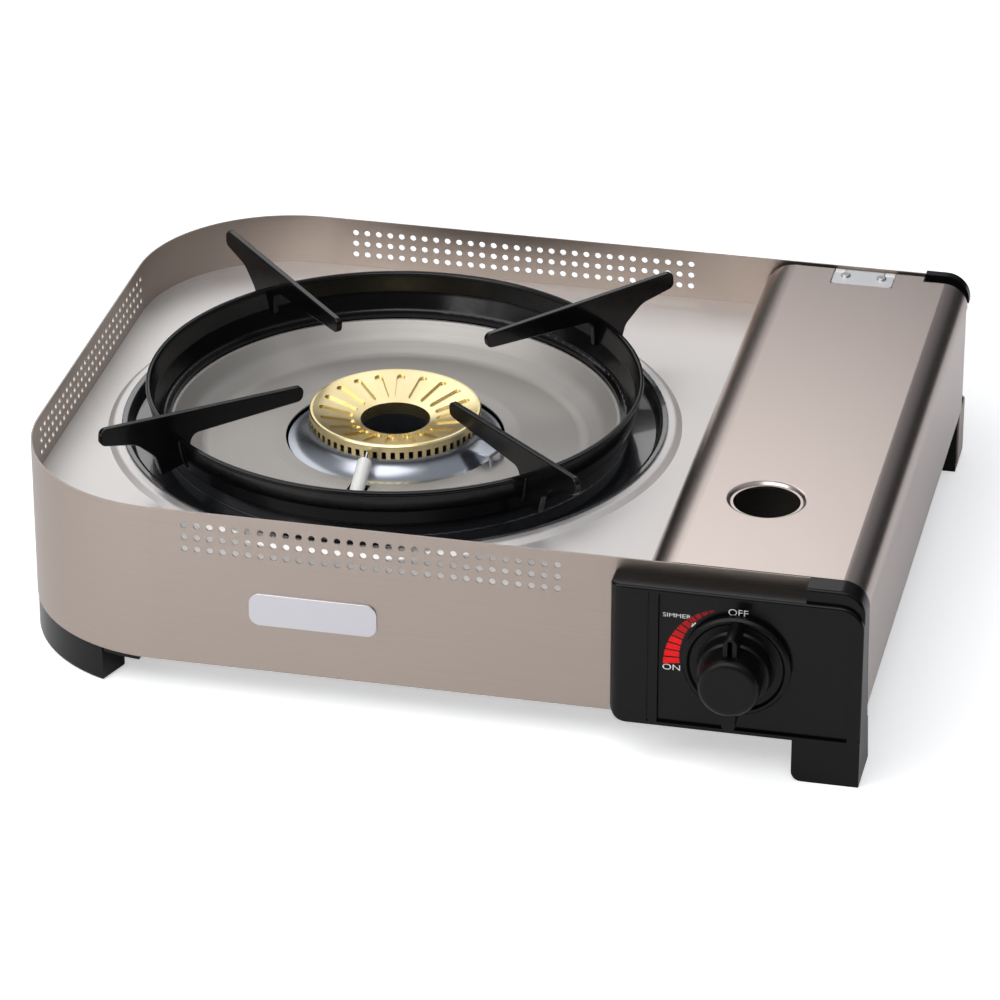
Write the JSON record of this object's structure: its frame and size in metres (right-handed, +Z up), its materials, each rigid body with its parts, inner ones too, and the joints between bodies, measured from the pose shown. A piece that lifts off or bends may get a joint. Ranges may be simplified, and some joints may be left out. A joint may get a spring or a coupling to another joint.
{
  "type": "butane cassette stove",
  "caption": "Portable cassette stove with a round burner, a four-armed pan support, and a cartridge bay under a hinged cover.",
  "frame": {"origin": "on the floor, under the middle of the stove's overall length and depth", "axes": "+Z up, -Y towards the user (the control knob), +X towards the cartridge bay"},
  "size_m": [0.34, 0.3014, 0.0927],
  "materials": {
    "brushed_wall": "brushed",
    "brushed_cover": "brushed",
    "badge_metal": "satin",
    "bare_steel": "satin",
    "satin_plate": "satin",
    "satin_bowl": "satin",
    "black_plastic": "fine grain",
    "plate_plastic": "satin",
    "white_plastic": "satin",
    "screw_steel": "bright",
    "cast_aluminium": "bright casting",
    "brass": "machined",
    "white_ceramic": "glazed",
    "black_rubber": "matte",
    "lead_rubber": "silicone",
    "black_enamel": "gloss enamel on steel"
  },
  "bodies": {
    "stove_body": {"windbreak_shell": "brushed_wall", "badge_plate": "badge_metal", "base_pan": "bare_steel", "front_left_foot": "black_plastic", "rear_left_foot": "black_plastic", "foot_screws": "screw_steel", "top_plate": "satin_plate", "reflector_bowl": "satin_bowl", "burner_body": "cast_aluminium", "burner_cap": "brass", "mixing_tube": "bare_steel", "air_shutter": "bare_steel", "gas_jet": "brass", "mixer_bracket": "bare_steel", "burner_screws": "screw_steel", "electrode": "screw_steel", "electrode_insulator": "white_ceramic", "burner_stay": "bare_steel", "canister_bay": "bare_steel", "heat_panel": "cast_aluminium", "governor_body": "cast_aluminium", "governor_screws": "screw_steel", "canister_socket": "brass", "socket_seal": "black_rubber", "socket_magnets": "screw_steel", "gas_pipe": "brass", "piezo_igniter": "black_plastic", "igniter_lead": "lead_rubber", "control_panel": "black_plastic", "face_plate": "plate_plastic", "panel_screws": "screw_steel", "rear_cap": "black_plastic", "hinge_bracket": "satin_plate", "hinge_pin": "screw_steel"},
    "knob": {"knob": "black_plastic", "gas_spindle": "brass"},
    "igniter_plunger": {"igniter_plunger": "white_plastic"},
    "cover": {"canister_cover": "brushed_cover", "hinge_leaf": "brushed_cover", "hinge_rivets": "screw_steel"},
    "drip_tray": {"drip_tray": "black_enamel"},
    "pan_support": {"pan_support_ring": "black_enamel", "pan_support_arm_1": "black_enamel", "pan_support_arm_2": "black_enamel", "pan_support_arm_3": "black_enamel", "pan_support_arm_4": "black_enamel"}
  },
  "joints": [
    {"name": "knob_turn", "type": "hinge", "parent": "stove_body", "child": "knob", "pos_m": [0.1228, -0.1193, 0.0471], "axis": [0, -1, 0], "range_deg": [0, 95]},
    {"name": "igniter_press", "type": "slide", "parent": "stove_body", "child": "igniter_plunger", "axis": [-1, 0, 0], "range_m": [0, 0.0032]},
    {"name": "cover_hinge", "type": "hinge", "parent": "stove_body", "child": "cover", "pos_m": [0.1263, 0.1471, 0.0782], "axis": [-1, 0, 0], "range_deg": [0, 80]},
    {"name": "drip_tray_lift", "type": "slide", "parent": "stove_body", "child": "drip_tray", "axis": [0, 0, 1], "range_m": [0, 0.06]},
    {"name": "pan_support_lift", "type": "slide", "parent": "drip_tray", "child": "pan_support", "axis": [0, 0, 1], "range_m": [0, 0.06]}
  ],
  "couplings": [
    {"joint": "igniter_press", "follows": "knob_turn", "m_per_rad": 0.0018094}
  ]
}
